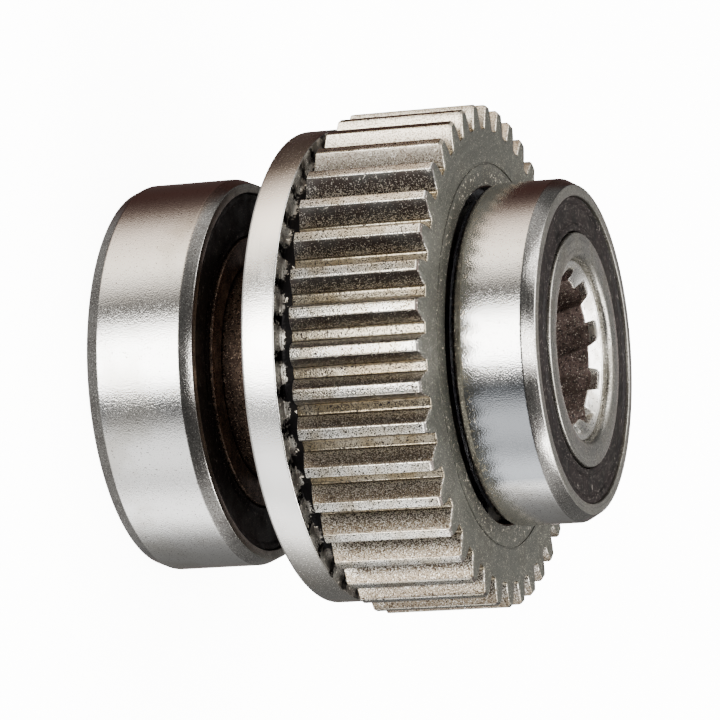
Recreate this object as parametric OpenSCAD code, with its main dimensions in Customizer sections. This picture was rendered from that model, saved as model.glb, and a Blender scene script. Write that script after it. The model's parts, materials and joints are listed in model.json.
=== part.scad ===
// Starter drive: a reduction gear on a roller overrunning clutch, with a helically
// splined sleeve through it and a sealed ball bearing at each end.
// The shaft axis is Z. The origin is on the axis, at the outer face of the large bearing.

/* [Gear] */
// Number of gear teeth
gear_teeth = 40; // [36:1:44]
// Gear module
gear_module = 1.65; // [1.6:0.01:1.7]
// Pressure angle of the gear teeth
gear_pressure_angle = 20; // [18:0.5:22]
// Tooth height above the pitch circle, in modules
gear_addendum = 0.91; // [0.85:0.01:1.05]
// Tooth depth below the pitch circle, in modules
gear_dedendum = 1.13; // [1.1:0.01:1.25]
// Tooth thinning for backlash, at the pitch circle
gear_backlash = 0.08; // [0.02:0.01:0.2]
// Face width of the gear
gear_width = 17.8; // [16:0.1:22]
// Chamfer at the free ends of the teeth
tooth_end_chamfer = 0.4; // [0.2:0.05:0.8]
// Radius at the foot of each tooth flank
tooth_root_blend = 0.3; // [0.15:0.05:0.4]
// Depth of the fine turned line on the gear face
face_line_depth = 0.15; // [0.05:0.05:0.3]
// Radius of the fine turned line on the gear face
face_line_r = 26.2; // [25.5:0.1:28.5]

/* [Rim and boss] */
// Radius of the ground rim beside the teeth
rim_r = 32.7; // [32:0.05:34]
// Width of the rim
rim_width = 4.75; // [4:0.05:6]
// Chamfer on the rim's free edge
rim_chamfer = 0.45; // [0.2:0.05:0.8]
// Radius at the bottom of the relief groove between the rim and the teeth
groove_floor_r = 30.6; // [29.8:0.1:30.9]
// Width of the relief groove
groove_width = 2.8; // [2.2:0.1:4]
// Length over which the groove's toothed side slants, from its floor to the tooth tips
groove_side_slant = 1; // [0.4:0.1:1.4]
// Distance from the large bearing to the rim
boss_gap = 9.4; // [7:0.1:12]
// Recess of the boss end inside the large bearing
boss_end_recess = 1.0; // [0.6:0.1:2]
// Blend between the boss and the rim's back face
boss_blend_r = 1.6; // [0.8:0.1:2.4]

/* [Large bearing] */
// Outer radius
large_outer_r = 27; // [26.5:0.1:28.5]
// Bore radius, which is also the boss radius
large_bore_r = 15; // [14.5:0.1:15.5]
// Width
large_width = 15.4; // [14:0.1:17]
// Ball radius
large_ball_r = 3.57; // [3.2:0.01:3.7]
// Number of balls
large_ball_count = 11; // [9:1:12]
// Length of the outer ring's cone-shaped corners along the shaft
large_corner_w = 1.8; // [1:0.1:2.2]
// Height of the outer ring's corners across the shaft
large_corner_h = 0.75; // [0.4:0.05:1]
// Radius of the seal's seat in the outer ring
large_seat_r = 25; // [24.6:0.1:25.4]

/* [Small bearing] */
// Outer radius
small_outer_r = 23.5; // [23.2:0.1:24.5]
// Bore radius, which is also the sleeve radius
small_bore_r = 12.5; // [12.2:0.1:12.8]
// Width
small_width = 12; // [11.5:0.1:14]
// Ball radius
small_ball_r = 3.37; // [3.1:0.01:3.45]
// Number of balls
small_ball_count = 10; // [8:1:11]
// Length of the outer ring's cone-shaped corners along the shaft
small_corner_w = 1.8; // [1:0.1:2.2]
// Height of the outer ring's corners across the shaft
small_corner_h = 1; // [0.4:0.05:1.3]
// Radius of the seal's seat in the outer ring
small_seat_r = 21; // [20.6:0.1:21.4]
// Gap between the gear face and the small bearing
small_bearing_gap = 0.3; // [0.2:0.05:1]

/* [Bearing details] */
// Radial height of the outer ring's shoulder above its ball track
outer_shoulder_h = 1.45; // [1:0.05:1.7]
// Radial height of the inner ring's shoulder above its ball track
inner_shoulder_h = 1.5; // [1:0.05:1.7]
// Axial depth of the seal seat
seal_seat_depth = 1.45; // [1.2:0.05:1.55]
// Recess of the seal below the ring faces
seal_recess = 0.35; // [0.2:0.05:0.5]
// Depth of the dished middle of the seal
seal_dish = 0.25; // [0.1:0.05:0.35]
// Radial width of the seal's raised lip and rim
seal_bead = 0.9; // [0.6:0.1:1]
// Corner radius at the inner ring's bore, and chamfer on the boss end
bore_corner_r = 0.8; // [0.4:0.1:1.1]
// Corner radius at the inner ring's shoulders
shoulder_corner_r = 0.2; // [0.1:0.05:0.3]
// Sheet thickness of the ball cages
cage_sheet = 0.7; // [0.5:0.05:0.8]
// Clearance between the cages and the ring shoulders
cage_clearance = 0.7; // [0.5:0.05:0.9]
// Radius of the cage rivets' shanks
cage_rivet_r = 0.6; // [0.4:0.05:0.7]
// Radius of the cage rivets' heads
cage_rivet_head_r = 0.96; // [0.85:0.01:1.1]
// Thickness of the cage rivets' heads
cage_rivet_head_t = 0.35; // [0.2:0.05:0.5]

/* [Clutch] */
// Roller radius
roller_r = 3.25; // [3:0.05:3.3]
// Roller length
roller_length = 16; // [14:0.1:16.4]
// Chamfer at the ends of the rollers
roller_chamfer = 0.3; // [0.2:0.05:0.5]
// Radius of the track that the rollers grip
track_r = 15.2; // [15:0.05:15.3]
// Wedge angle between the track and the cam ramps
cam_angle = 5; // [4:0.25:6]
// Travel of the rollers from gripping to free
roller_travel = 0.6; // [0.4:0.05:0.7]
// Radius of the spring plungers' heads
plunger_head_r = 2.3; // [2:0.05:2.4]
// Thickness of the plunger heads
plunger_head_t = 1.4; // [1:0.05:1.6]
// Radius of the plunger stems
plunger_stem_r = 1.15; // [0.9:0.05:1.25]
// Length of the plunger stems
plunger_stem_length = 3.4; // [2.5:0.1:4]
// Mean coil radius of the roller springs
spring_coil_r = 1.85; // [1.75:0.01:1.95]
// Wire radius of the roller springs
spring_wire_r = 0.27; // [0.2:0.01:0.3]
// Number of turns in each roller spring
spring_turns = 5; // [4:0.5:6]
// Length of each roller spring
spring_length = 6.2; // [5.5:0.1:7]
// Distance of the spring axis from the shaft axis
spring_axis_x = 17.6; // [17.5:0.05:17.9]

/* [Cover] */
// Radius of the recess in the gear face
recess_r = 23.1; // [23:0.05:23.3]
// Depth from the gear face to the retaining ring
recess_depth = 1.1; // [0.6:0.1:1.6]
// Thickness of the retaining ring
snap_ring_t = 1.2; // [1:0.1:1.5]
// Radial width of the retaining ring
snap_ring_width = 2.4; // [2:0.1:2.8]
// Depth of the retaining ring's groove
snap_groove_depth = 0.9; // [0.6:0.1:1.2]
// Opening between the retaining ring's ends
snap_ring_opening = 28; // [20:1:40]
// Radius of the retaining ring's eyes
snap_eye_r = 2; // [1.8:0.1:2.3]
// Radius of the holes in the eyes
snap_eye_hole_r = 1; // [0.8:0.1:1.1]
// Thickness of the cover plate
cover_t = 2; // [1.6:0.1:2.4]

/* [Sleeve] */
// Radius of the tail that runs in the bush
tail_r = 11; // [10.8:0.05:11.2]
// Radius of the shoulder under the cover plate's bore
sleeve_shoulder_r = 14.2; // [13.6:0.1:14.4]
// Pilot bore radius for the pinion shaft
pilot_bore_r = 8.5; // [8:0.1:8.8]
// Recess of the tail end from the large bearing's face
tail_end_recess = 2; // [1.5:0.1:3]
// Recess of the sleeve end inside the small bearing
sleeve_end_recess = 1.1; // [0.6:0.1:1.8]
// Chamfer on the outer edges of the sleeve's ends
sleeve_chamfer = 0.4; // [0.2:0.05:0.6]
// Number of spline teeth
spline_teeth = 10; // [8:1:11]
// Radius at the bottom of the spline spaces
spline_root_r = 11.25; // [11:0.05:11.4]
// Radius at the tips of the spline teeth
spline_tip_r = 10; // [9.8:0.05:10.2]
// Width of a spline tooth at its root
spline_root_w = 4.25; // [3.8:0.05:4.4]
// Width of a spline tooth at its tip
spline_tip_w = 2.9; // [2.5:0.05:3.1]
// Lead of the right-hand spline helix
spline_lead = 200; // [160:5:300]
// Length of the splines
spline_length = 25.7; // [20:0.1:26]
// Width of the tool relief below the splines
spline_relief_width = 3; // [2:0.1:4]
// Radius of the tool relief below the splines
spline_relief_r = 11.7; // [11.5:0.05:12]
// Radius where the splines' lead-in starts
lead_in_r = 11.7; // [11.5:0.05:12]
// Angle of the lead-in from the shaft axis
lead_in_angle = 50; // [40:1:60]

/* [Bush and washer] */
// Wall of the sleeve bush
bush_wall = 1.46; // [1.2:0.02:1.6]
// Length of the sleeve bush
bush_length = 24; // [18:0.5:25]
// Thickness of the thrust washer
washer_t = 1.1; // [0.8:0.1:1.5]

/* [Clearances] */
// Running clearance of the tail in its bush
bush_clearance = 0.04; // [0.02:0.01:0.08]
// Clearance between the balls and their tracks
ball_clearance = 0.12; // [0.08:0.01:0.15]
// Clearance between the rollers and the track and ramps
roller_clearance = 0.1; // [0.06:0.01:0.12]
// Clearance at each end of the rollers
roller_end_clearance = 0.2; // [0.15:0.05:0.3]
// Clearance between the track and the lands of the clutch body
land_clearance = 0.5; // [0.4:0.05:0.7]
// Side clearance of a roller at the narrow end of its pocket
pocket_clearance = 0.6; // [0.4:0.05:0.8]
// Clearance between a plunger and its roller, and where its travel ends
plunger_clearance = 0.05; // [0.03:0.01:0.1]
// Clearance of the springs in their recesses
spring_clearance = 0.25; // [0.15:0.01:0.3]
// Clearance of the cover plate and retaining ring in their seats
cover_clearance = 0.1; // [0.05:0.01:0.15]
// Clearance of the sleeve in the cover plate's bore
cover_bore_clearance = 0.4; // [0.3:0.05:0.6]
// Clearance of the thrust washer's bore and the sleeve's shoulder above it
washer_clearance = 0.2; // [0.15:0.05:0.3]
// Clearance between the seal lips and the inner rings
lip_clearance = 0.2; // [0.15:0.05:0.3]

/* [Hidden] */
$fn = 96;
over = 1;

// Heights of the main faces along the shaft
z_rim = large_width + boss_gap;
z_groove = z_rim + rim_width;
z_gear = z_groove + groove_width;
z_face = z_gear + gear_width;
z_small = z_face + small_bearing_gap;
z_sleeve_end = z_small + small_width - sleeve_end_recess;

// Gear tooth radii and angles
pitch_r = gear_module * gear_teeth / 2;
base_r = pitch_r * cos(gear_pressure_angle);
tip_r = pitch_r + gear_addendum * gear_module;
root_r = pitch_r - gear_dedendum * gear_module;
tooth_pitch = 360 / gear_teeth;
flank_steps = 4;
rad_to_deg = 180 / PI;

// Clutch stack inside the gear, from the face inwards
z_snap = z_face - recess_depth - snap_ring_t;
z_cover = z_snap - cover_clearance - cover_t;
z_cavity = z_cover - roller_length - 2 * roller_end_clearance;
z_roller = z_cavity + roller_end_clearance;
z_washer = z_cavity - washer_t;
roller_x = track_r + roller_r + roller_clearance;
pocket_low = -(roller_r + pocket_clearance);
plunger_y = roller_r + plunger_clearance;
spring_y = plunger_y + plunger_head_t + roller_travel + plunger_clearance;
pocket_high = plunger_y + plunger_head_t + plunger_clearance;
spring_recess_w = spring_coil_r + spring_wire_r + spring_clearance;
spring_z = z_roller + roller_length / 2;
land_r = track_r + land_clearance;
roller_count = 5;
roller_step = 360 / roller_count;
first_roller_angle = 20;

// Bush, boss and washer radii
bush_bore_r = tail_r + bush_clearance;
boss_bore_r = bush_bore_r + bush_wall;
washer_bore_r = tail_r + washer_clearance;
z_tail = tail_end_recess;
z_boss = boss_end_recess;

// Sleeve heights
z_spline = z_sleeve_end - spline_length;
z_relief = z_spline - spline_relief_width;
z_track_low = z_cavity + washer_clearance;
z_track_high = z_cover - washer_clearance;

// Ball tracks: the pitch circle lies midway between bore and outer radius
large_pitch_r = (large_outer_r + large_bore_r) / 2;
small_pitch_r = (small_outer_r + small_bore_r) / 2;

// Involute angle in degrees at the pressure angle a
function involute(a) = tan(a) * rad_to_deg - a;

// Half the angle that a tooth fills at radius r
function tooth_half(r) = (90 - gear_backlash / 2 / gear_module * rad_to_deg) / gear_teeth
    + involute(gear_pressure_angle) - involute(acos(base_r / r));

function polar(r, a) = [r * cos(a), r * sin(a)];

// Radii along a flank, from the top of the root blend to just past the tip
function flank_r(i) = root_r + tooth_root_blend + (tip_r - root_r) * i / flank_steps;

// Angle from a tooth's middle to the foot of its root blend
foot_half = tooth_half(root_r + tooth_root_blend) + tooth_root_blend / root_r * rad_to_deg;

module gear_outline() {
    polygon([for (k = [0 : gear_teeth - 1], p = [0 : 2 * flank_steps + 3])
        let (mid = k * tooth_pitch, last = 2 * flank_steps + 3)
        p == 0 ? polar(root_r, mid - foot_half)
        : p == last ? polar(root_r, mid + foot_half)
        : p <= flank_steps + 1 ? polar(flank_r(p - 1), mid - tooth_half(flank_r(p - 1)))
        : polar(flank_r(last - 1 - p), mid + tooth_half(flank_r(last - 1 - p)))]);
}

// Toothed ring: chamfered at its free end, and a cone at the groove that starts below the groove's floor
module toothed_ring() {
    chamfer_r = tip_r - tooth_end_chamfer;
    cone_low = -groove_side_slant * (1 + over / (tip_r - groove_floor_r));
    intersection() {
        translate([0, 0, cone_low]) linear_extrude(gear_width - cone_low) gear_outline();
        rotate_extrude() polygon([[0, cone_low], [groove_floor_r - over, cone_low], [tip_r, 0],
            [tip_r, gear_width - tooth_end_chamfer], [chamfer_r, gear_width], [0, gear_width]]);
    }
}

// Boss, back face, rim and relief groove, turned in one
module turned_body() {
    rotate_extrude() difference() {
        polygon([[0, z_boss], [large_bore_r - bore_corner_r, z_boss],
            [large_bore_r, z_boss + bore_corner_r], [large_bore_r, z_rim - boss_blend_r],
            [large_bore_r + boss_blend_r, z_rim], [rim_r - rim_chamfer, z_rim],
            [rim_r, z_rim + rim_chamfer], [rim_r, z_groove - rim_chamfer / 2],
            [rim_r - rim_chamfer / 2, z_groove], [groove_floor_r, z_groove],
            [groove_floor_r, z_gear + over], [0, z_gear + over]]);
        translate([large_bore_r + boss_blend_r, z_rim - boss_blend_r]) circle(boss_blend_r);
    }
}

// One roller pocket, seen along the shaft: the ramp widens towards the spring
module pocket_outline() {
    ramp_x = roller_x + (roller_r + roller_clearance) / cos(cam_angle);
    polygon([[track_r - over, pocket_low], [ramp_x + pocket_low * tan(cam_angle), pocket_low],
        [ramp_x + pocket_high * tan(cam_angle), pocket_high], [track_r - over, pocket_high]]);
}

// Recess for one spring, at half the height of the rollers
module spring_recess() {
    recess_end = spring_y + spring_length;
    translate([spring_axis_x - spring_recess_w, pocket_high - over, spring_z - spring_recess_w])
        cube([2 * spring_recess_w, recess_end - pocket_high + over, 2 * spring_recess_w]);
}

module at_each_roller() {
    for (k = [0 : roller_count - 1])
        rotate(first_roller_angle + k * roller_step) children();
}

// Turned hollow inside the clutch: bush bore, washer seat, lands, recess and snap groove
module clutch_hollow() {
    translate([0, 0, z_boss - over]) cylinder(h = z_face, r = boss_bore_r);
    translate([0, 0, z_washer]) cylinder(h = z_face, r = track_r);
    translate([0, 0, z_cavity]) cylinder(h = z_face, r = land_r);
    translate([0, 0, z_cover]) cylinder(h = z_face, r = recess_r);
    translate([0, 0, z_snap]) cylinder(h = snap_ring_t, r = recess_r + snap_groove_depth);
}

module drive_gear() color("#8c8a83") {
    line_w = 2 * face_line_depth;
    difference() {
        union() {
            translate([0, 0, z_gear]) toothed_ring();
            turned_body();
        }
        clutch_hollow();
        at_each_roller() {
            translate([0, 0, z_cavity]) linear_extrude(z_cover - z_cavity + over) pocket_outline();
            spring_recess();
        }
        translate([0, 0, z_face - face_line_depth]) difference() {
            cylinder(h = over, r = face_line_r + line_w);
            translate([0, 0, -over]) cylinder(h = 3 * over, r = face_line_r);
        }
    }
}

module cover_plate() color("#5b5750") {
    plate_bore_r = sleeve_shoulder_r + cover_bore_clearance;
    translate([0, 0, z_cover]) difference() {
        cylinder(h = cover_t, r = recess_r - cover_clearance);
        translate([0, 0, -over]) cylinder(h = cover_t + 2 * over, r = plate_bore_r);
    }
}

// Internal retaining ring, open between two drilled eyes
module retaining_ring() color("#3c3a38") {
    ring_r = recess_r + snap_groove_depth - cover_clearance;
    eye_x = ring_r - snap_ring_width - snap_eye_r + snap_ring_width / 2;
    half = snap_ring_opening / 2;
    ring_t = snap_ring_t - cover_clearance;
    translate([0, 0, z_snap]) difference() {
        union() {
            difference() {
                cylinder(h = ring_t, r = ring_r);
                translate([0, 0, -over]) cylinder(h = ring_t + 2 * over, r = ring_r - snap_ring_width);
                translate([0, 0, -over]) linear_extrude(ring_t + 2 * over)
                    polygon([[0, 0], polar(2 * ring_r, -half), polar(2 * ring_r, half)]);
            }
            for (side = [-1, 1]) rotate(side * half) translate([eye_x, side * snap_eye_r / 2, 0])
                cylinder(h = ring_t, r = snap_eye_r);
        }
        for (side = [-1, 1]) rotate(side * half) translate([eye_x, side * snap_eye_r / 2, -over])
            cylinder(h = ring_t + 2 * over, r = snap_eye_hole_r);
    }
}

// The hollow between spline teeth, seen along the shaft
module spline_outline() {
    root_half = spline_root_w / 2 / spline_root_r * rad_to_deg;
    tip_half = spline_tip_w / 2 / spline_tip_r * rad_to_deg;
    pitch = 360 / spline_teeth;
    space = pitch - 2 * root_half;
    polygon([for (k = [0 : spline_teeth - 1], p = [0 : 6]) let (mid = 90 + k * pitch)
        p == 0 ? polar(spline_tip_r, mid - tip_half)
        : p == 1 ? polar(spline_tip_r, mid)
        : p == 2 ? polar(spline_tip_r, mid + tip_half)
        : polar(spline_root_r, mid + root_half + space * (p - 3) / 3)]);
}

// Right-hand helical cut, lined up so that a tooth stands at the back at the sleeve's end
module spline_cut() {
    cut_length = spline_length + over;
    slices = 12;
    turn = 360 * cut_length / spline_lead;
    translate([0, 0, z_spline]) rotate(-360 * spline_length / spline_lead)
        linear_extrude(cut_length, twist = -turn, slices = slices) spline_outline();
}

module splined_sleeve() color("#7d7a72") {
    lead_in_h = lead_in_r / tan(lead_in_angle);
    difference() {
        rotate_extrude() polygon([[0, z_tail], [tail_r - sleeve_chamfer, z_tail],
            [tail_r, z_tail + sleeve_chamfer], [tail_r, z_track_low], [track_r, z_track_low],
            [track_r, z_track_high], [sleeve_shoulder_r, z_track_high], [sleeve_shoulder_r, z_small],
            [small_bore_r, z_small], [small_bore_r, z_sleeve_end - sleeve_chamfer],
            [small_bore_r - sleeve_chamfer, z_sleeve_end], [0, z_sleeve_end]]);
        translate([0, 0, z_tail - over]) cylinder(h = z_relief - z_tail + 2 * over, r = pilot_bore_r);
        translate([0, 0, z_relief]) cylinder(h = spline_relief_width, r = spline_relief_r);
        spline_cut();
        translate([0, 0, z_sleeve_end - lead_in_h]) cylinder(h = lead_in_h, r1 = 0, r2 = lead_in_r);
    }
}

module sleeve_bush() color("#a8844e") {
    translate([0, 0, z_tail]) difference() {
        cylinder(h = bush_length, r = boss_bore_r);
        translate([0, 0, -over]) cylinder(h = bush_length + 2 * over, r = bush_bore_r);
    }
}

module thrust_washer() color("#9a7f4c") {
    translate([0, 0, z_washer]) difference() {
        cylinder(h = washer_t, r = track_r - washer_clearance);
        translate([0, 0, -over]) cylinder(h = washer_t + 2 * over, r = washer_bore_r);
    }
}

module roller(k) color("#b9b9b6") {
    end_r = roller_r - roller_chamfer;
    rotate(first_roller_angle + (k - 1) * roller_step) translate([roller_x, 0, z_roller])
        rotate_extrude() polygon([[0, 0], [end_r, 0], [roller_r, roller_chamfer],
            [roller_r, roller_length - roller_chamfer], [end_r, roller_length], [0, roller_length]]);
}

module plunger(k) color("#94918a") {
    rotate(first_roller_angle + (k - 1) * roller_step) translate([spring_axis_x, plunger_y, spring_z])
        rotate([-90, 0, 0]) {
            cylinder(h = plunger_head_t, r = plunger_head_r);
            cylinder(h = plunger_head_t + plunger_stem_length, r = plunger_stem_r);
        }
}

// Height of the wire's middle after t turns of the coil
function wire_height(t) = spring_wire_r + (spring_length - 2 * spring_wire_r) * t / spring_turns;

// Points of one ring of the spring wire, t turns along the coil
function wire_ring(t, sides) = let (middle = wire_height(t))
    [for (s = [0 : sides - 1]) let (reach = spring_coil_r + spring_wire_r * cos(360 * s / sides))
        [reach * cos(360 * t), reach * sin(360 * t), middle + spring_wire_r * sin(360 * s / sides)]];

// Helical coil swept as rings of points round the wire
module coil() {
    sides = 6;
    rings_per_turn = 12;
    rings = spring_turns * rings_per_turn;
    points = [for (i = [0 : rings], p = wire_ring(spring_turns * i / rings, sides)) p];
    sides_faces = [for (i = [0 : rings - 1], s = [0 : sides - 1]) let (n = (s + 1) % sides)
        [i * sides + s, (i + 1) * sides + s, (i + 1) * sides + n, i * sides + n]];
    start_face = [for (s = [0 : sides - 1]) s];
    end_face = [for (s = [sides - 1 : -1 : 0]) rings * sides + s];
    polyhedron(points, concat([start_face], sides_faces, [end_face]));
}

module spring(k) color("#6f6d69") {
    rotate(first_roller_angle + (k - 1) * roller_step) translate([spring_axis_x, spring_y, spring_z])
        rotate([-90, 0, 0]) coil();
}

// Half section of an inner ring with rounded corners, from radius a to b and from 0 to w
module inner_section(a, b, w, corner_a, corner_b) {
    difference() {
        translate([a, 0]) square([b - a, w]);
        for (end = [0, 1]) translate([0, end * w]) mirror([0, end]) {
            difference() {
                translate([b - corner_b, -over]) square([corner_b + over, corner_b + over]);
                translate([b - corner_b, corner_b]) circle(corner_b);
            }
            difference() {
                translate([a - over, -over]) square([corner_a + over, corner_a + over]);
                translate([a + corner_a, corner_a]) circle(corner_a);
            }
        }
    }
}

// Radius of a bearing's outer or inner shoulder
function outer_shoulder(pitch, ball) = pitch + ball + ball_clearance - outer_shoulder_h;
function inner_shoulder(pitch, ball) = pitch - ball - ball_clearance + inner_shoulder_h;

module outer_ring(outer, pitch, ball, w, corner_w, corner_h, seat) {
    low_r = outer_shoulder(pitch, ball);
    face_r = outer - corner_h;
    difference() {
        rotate_extrude() polygon([[low_r, 0], [face_r, 0], [outer, corner_w],
            [outer, w - corner_w], [face_r, w], [low_r, w]]);
        translate([0, 0, w / 2]) rotate_extrude() translate([pitch, 0]) circle(ball + ball_clearance);
        for (z = [-over, w - seal_seat_depth]) translate([0, 0, z])
            cylinder(h = seal_seat_depth + over, r = seat);
    }
}

module inner_ring(bore, pitch, ball, w) {
    difference() {
        rotate_extrude()
            inner_section(bore, inner_shoulder(pitch, ball), w, bore_corner_r, shoulder_corner_r);
        translate([0, 0, w / 2]) rotate_extrude() translate([pitch, 0]) circle(ball + ball_clearance);
    }
}

module at_each_ball(pitch, count, w, offset_steps = 0) {
    for (k = [0 : count - 1])
        rotate((k + offset_steps) * 360 / count) translate([pitch, 0, w / 2]) children();
}

module balls(pitch, ball, count, w) {
    at_each_ball(pitch, count, w) sphere(ball);
}

// The low half of a pressed ribbon cage: a flat ring with a round pocket over each ball
module cage_half(pitch, ball, count, w) {
    low_r = inner_shoulder(pitch, ball) + cage_clearance;
    high_r = outer_shoulder(pitch, ball) - cage_clearance;
    reach = ball + ball_clearance + cage_sheet;
    difference() {
        intersection() {
            union() {
                at_each_ball(pitch, count, w) sphere(reach);
                translate([0, 0, w / 2 - cage_sheet]) cylinder(h = cage_sheet, r = high_r);
            }
            translate([0, 0, w / 2 - reach]) difference() {
                cylinder(h = reach, r = high_r);
                translate([0, 0, -over]) cylinder(h = reach + 2 * over, r = low_r);
            }
        }
        at_each_ball(pitch, count, w) sphere(ball + ball_clearance);
        at_each_ball(pitch, count, w, 0.5) translate([0, 0, -over]) cylinder(h = 2 * over, r = cage_rivet_r);
    }
}

// The cage's other half is the low half turned over
module cage_pair_half(pitch, ball, count, w, upper) {
    if (upper) translate([0, 0, w]) mirror([0, 0, 1]) cage_half(pitch, ball, count, w);
    else cage_half(pitch, ball, count, w);
}

// Rivets between the balls: a shank through both halves and a flat head on each side
module cage_rivets(pitch, count, w) {
    at_each_ball(pitch, count, w, 0.5) {
        translate([0, 0, -cage_sheet]) cylinder(h = 2 * cage_sheet, r = cage_rivet_r);
        for (z = [-cage_sheet - cage_rivet_head_t, cage_sheet]) translate([0, 0, z])
            cylinder(h = cage_rivet_head_t, r = cage_rivet_head_r);
    }
}

// Rubber seal: a bead in the ring's seat, a dished web and a lip near the inner ring
module seal(pitch, ball, seat) {
    lip = inner_shoulder(pitch, ball) + lip_clearance;
    t = seal_seat_depth - seal_recess;
    web_low = lip + seal_bead;
    web_high = seat - seal_bead;
    rotate_extrude() polygon([[lip, 0], [web_low, 0], [web_low + seal_dish, seal_dish],
        [web_high - seal_dish, seal_dish], [web_high, 0], [seat, 0], [seat, t],
        [web_low, t], [lip, t / 2]]);
}

// Seals at a bearing's low and high face, each set in by the recess
module low_seal(pitch, ball, seat) {
    translate([0, 0, seal_recess]) seal(pitch, ball, seat);
}

module high_seal(pitch, ball, seat, w) {
    translate([0, 0, w - seal_recess]) mirror([0, 0, 1]) seal(pitch, ball, seat);
}

module large_outer_ring() color("#c9c7c2")
    outer_ring(large_outer_r, large_pitch_r, large_ball_r, large_width,
        large_corner_w, large_corner_h, large_seat_r);

module large_inner_ring() color("#8f8c86")
    inner_ring(large_bore_r, large_pitch_r, large_ball_r, large_width);

module large_balls() color("#d8d8d6")
    balls(large_pitch_r, large_ball_r, large_ball_count, large_width);

module large_cage_half(upper) color("#a59a80")
    cage_pair_half(large_pitch_r, large_ball_r, large_ball_count, large_width, upper);

module large_cage_rivets() color("#8d8570")
    cage_rivets(large_pitch_r, large_ball_count, large_width);

module large_seal_end() color("#2b2828")
    low_seal(large_pitch_r, large_ball_r, large_seat_r);

module large_seal_gear() color("#2b2828")
    high_seal(large_pitch_r, large_ball_r, large_seat_r, large_width);

module small_bearing_place() {
    translate([0, 0, z_small]) children();
}

module small_outer_ring() color("#c9c7c2") small_bearing_place()
    outer_ring(small_outer_r, small_pitch_r, small_ball_r, small_width,
        small_corner_w, small_corner_h, small_seat_r);

module small_inner_ring() color("#8f8c86") small_bearing_place()
    inner_ring(small_bore_r, small_pitch_r, small_ball_r, small_width);

module small_balls() color("#d8d8d6") small_bearing_place()
    balls(small_pitch_r, small_ball_r, small_ball_count, small_width);

module small_cage_half(upper) color("#a59a80") small_bearing_place()
    cage_pair_half(small_pitch_r, small_ball_r, small_ball_count, small_width, upper);

module small_cage_rivets() color("#8d8570") small_bearing_place()
    cage_rivets(small_pitch_r, small_ball_count, small_width);

module small_seal_gear() color("#2b2828") small_bearing_place()
    low_seal(small_pitch_r, small_ball_r, small_seat_r);

module small_seal_end() color("#2b2828") small_bearing_place()
    high_seal(small_pitch_r, small_ball_r, small_seat_r, small_width);

drive_gear();
cover_plate();
retaining_ring();
splined_sleeve();
sleeve_bush();
thrust_washer();
for (k = [1 : roller_count]) {
    roller(k);
    plunger(k);
    spring(k);
}
large_outer_ring();
large_inner_ring();
large_balls();
large_cage_half(false);  // large_cage_lower
large_cage_half(true);  // large_cage_upper
large_cage_rivets();
large_seal_end();
large_seal_gear();
small_outer_ring();
small_inner_ring();
small_balls();
small_cage_half(false);  // small_cage_lower
small_cage_half(true);  // small_cage_upper
small_cage_rivets();
small_seal_gear();
small_seal_end();
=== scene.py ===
import json
import math
import bpy
import numpy as np
from mathutils import Matrix, Vector


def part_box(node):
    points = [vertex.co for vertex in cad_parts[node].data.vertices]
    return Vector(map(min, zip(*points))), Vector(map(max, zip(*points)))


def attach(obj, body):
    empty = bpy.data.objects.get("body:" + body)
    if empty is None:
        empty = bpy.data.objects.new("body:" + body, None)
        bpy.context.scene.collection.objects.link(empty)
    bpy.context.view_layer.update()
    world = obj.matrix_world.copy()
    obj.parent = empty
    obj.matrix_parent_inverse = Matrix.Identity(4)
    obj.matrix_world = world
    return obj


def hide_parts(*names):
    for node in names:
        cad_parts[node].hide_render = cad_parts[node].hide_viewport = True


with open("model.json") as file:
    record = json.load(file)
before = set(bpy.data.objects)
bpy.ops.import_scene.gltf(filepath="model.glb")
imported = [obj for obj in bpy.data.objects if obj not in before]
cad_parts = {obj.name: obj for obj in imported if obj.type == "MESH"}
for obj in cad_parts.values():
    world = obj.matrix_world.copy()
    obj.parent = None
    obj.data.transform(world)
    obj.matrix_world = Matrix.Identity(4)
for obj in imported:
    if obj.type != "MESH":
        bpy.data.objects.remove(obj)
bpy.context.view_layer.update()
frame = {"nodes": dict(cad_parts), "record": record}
mm = 0.001  # every size below is in millimetres and is turned to metres here
sharpAngle = 32  # degrees: where two faces meet at more than this, their edge stays sharp
print("starter drive: frame loaded,", len(frame["nodes"]), "nodes")


# Shared helpers

def linearColour(code):
    # sRGB hex to linear light: a straight part near black, then a 2.4 power
    parts = [int(code[i:i + 2], 16) / 255 for i in (1, 3, 5)]
    return tuple(c / 12.92 if c <= 0.04045 else ((c + 0.055) / 1.055) ** 2.4 for c in parts) + (1.0,)


def addNode(tree, kind, inputs=None, stops=None, **settings):
    # one node: its settings, then its sockets by name or number, each a plain value, another node or one
    # of its outputs; a MapRange runs from 0 to 1 (sockets 3 and 4) unless others are given
    node = tree.nodes.new("ShaderNode" + kind)
    for name, value in settings.items():
        setattr(node, name, value)
    for name, value in (inputs or {}).items():
        if isinstance(value, bpy.types.Node):
            value = next(output for output in value.outputs if output.enabled)
        if isinstance(value, bpy.types.NodeSocket):
            tree.links.new(value, node.inputs[name])
        else:
            node.inputs[name].default_value = value
    if stops:
        ramp = node.color_ramp.elements
        while len(ramp) < len(stops):
            ramp.new(1.0)
        for element, (place, colour) in zip(ramp, stops):
            element.position = place
            grey = not isinstance(colour, str)
            element.color = (colour,) * 3 + (1.0,) if grey else linearColour(colour)
    return node


def newMaterial(name):
    material = bpy.data.materials.new(name)
    material.use_nodes = True
    material.node_tree.nodes.clear()
    return material, material.node_tree


def nodeSpan(node):
    # a turned piece's outer radius and its two end heights, in millimetres
    low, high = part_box(node)
    return high[0] / mm, low[2] / mm, high[2] / mm


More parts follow.
